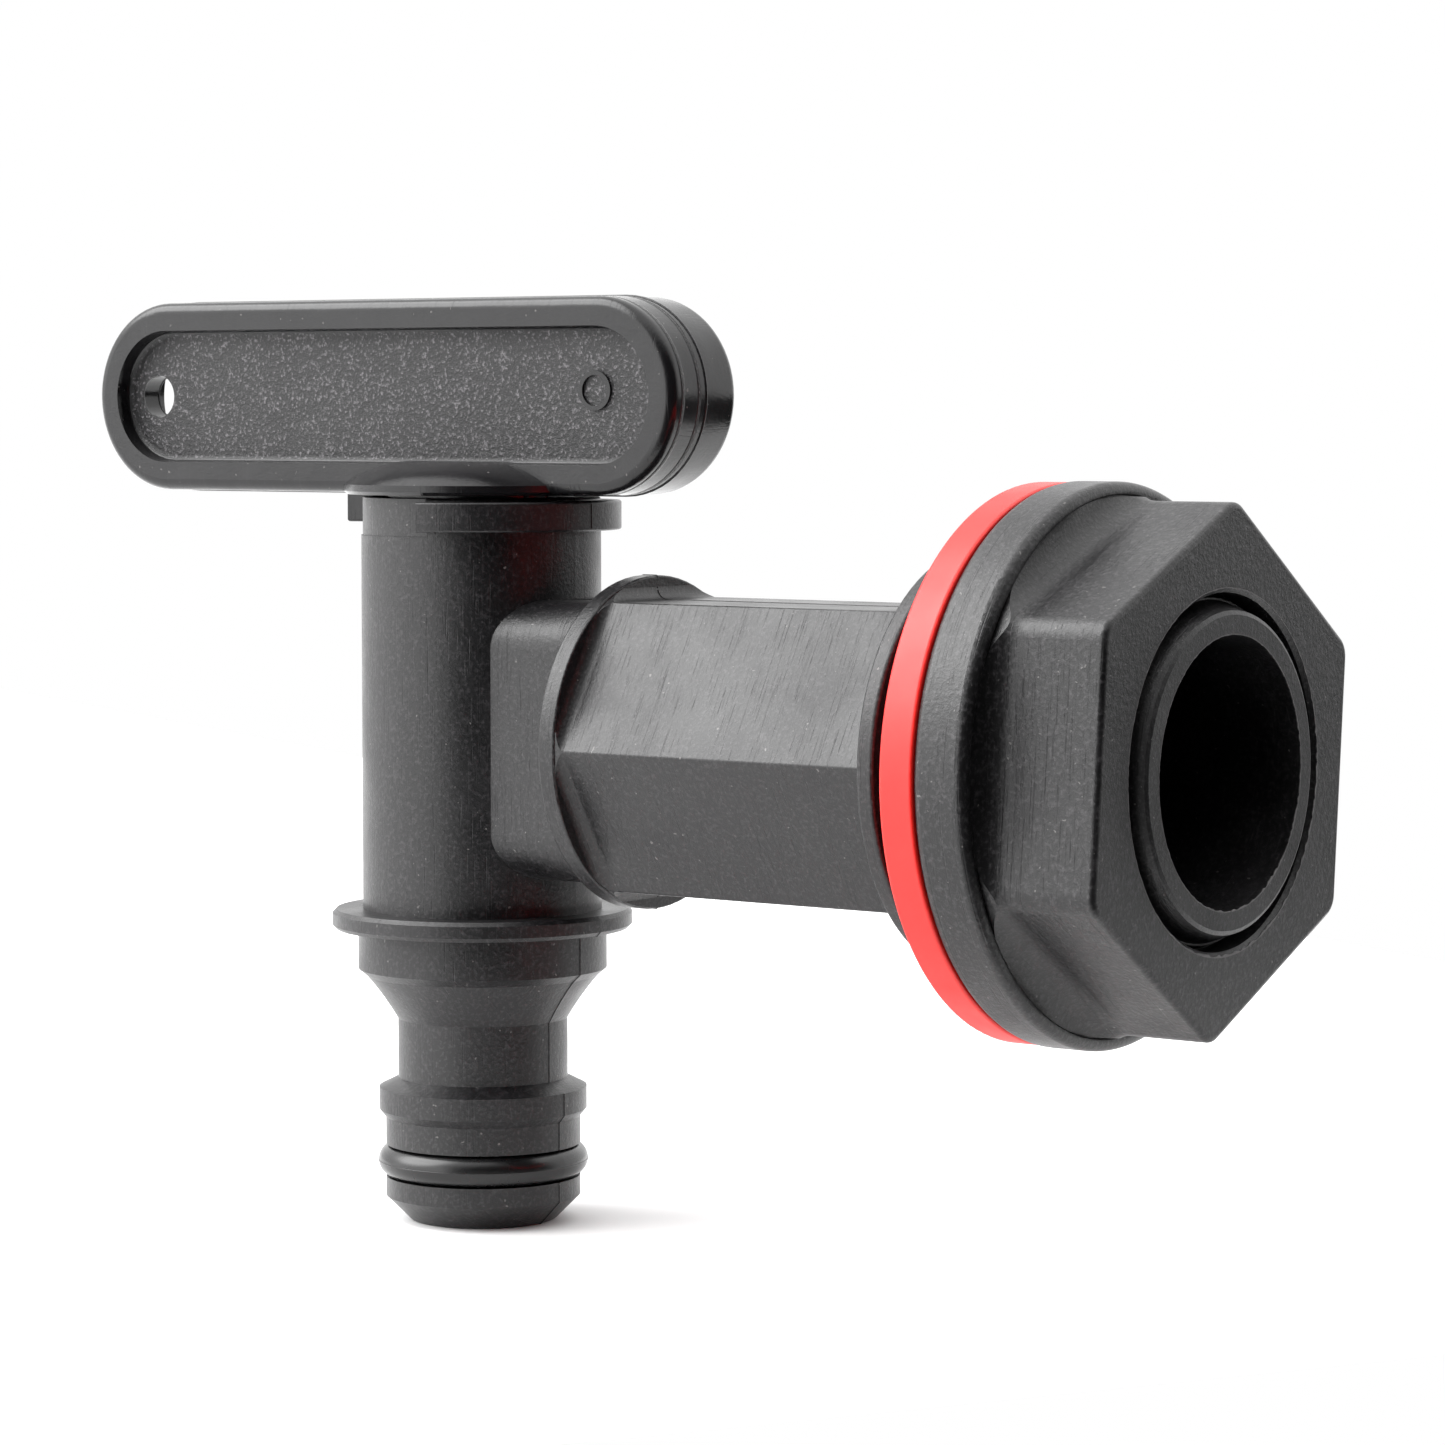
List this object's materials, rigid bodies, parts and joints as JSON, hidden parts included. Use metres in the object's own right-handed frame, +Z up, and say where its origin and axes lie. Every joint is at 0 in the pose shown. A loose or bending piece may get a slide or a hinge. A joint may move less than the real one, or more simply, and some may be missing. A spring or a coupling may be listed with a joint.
{
  "type": "quarter-turn tank tap",
  "caption": "Plastic quarter-turn lever tap for a tank wall, with a hose-connector outlet, threaded spigot, flat washer and flanged back nut.",
  "frame": {"origin": "centre of the inlet bore in the plane of the sealing flange's face, which bears on the tank wall", "axes": "+X along the spigot, into the tank; +Z up along the plug and lever axis; the outlet points along -Z"},
  "size_m": [0.103, 0.0397, 0.0708],
  "materials": {
    "body_plastic": "fine moulded grain, satin",
    "lever_plastic": "semi-gloss with a spark-textured pocket",
    "plug_plastic": "smooth",
    "o_ring_rubber": "smooth, slightly glossy",
    "ring_plastic": "smooth, natural acetal",
    "washer_rubber": "smooth, satin",
    "nut_plastic": "fine moulded grain, satin"
  },
  "bodies": {
    "tap_body": {"valve_body": "body_plastic", "outlet_o_ring": "o_ring_rubber"},
    "lever": {"lever_handle": "lever_plastic", "valve_plug": "plug_plastic", "plug_o_ring_upper": "o_ring_rubber", "plug_o_ring_lower": "o_ring_rubber", "shut_off_pad": "o_ring_rubber", "retaining_ring": "ring_plastic"},
    "washer": {"tank_washer": "washer_rubber"},
    "nut": {"back_nut": "nut_plastic"}
  },
  "joints": [
    {"name": "lever_turn", "type": "hinge", "parent": "tap_body", "child": "lever", "pos_m": [-0.04703, 0, 0], "axis": [0, 0, 1], "range_deg": [0, 90]},
    {"name": "washer_slide", "type": "slide", "parent": "tap_body", "child": "washer", "axis": [1, 0, 0], "range_m": [-0.00046, 0.0091]},
    {"name": "nut_spin", "type": "hinge", "parent": "washer", "child": "nut", "pos_m": [0, 0, 0], "axis": [1, 0, 0], "range_deg": [-90, 1800]}
  ],
  "couplings": [
    {"joint": "washer_slide", "follows": "nut_spin", "m_per_rad": 0.00028871}
  ]
}
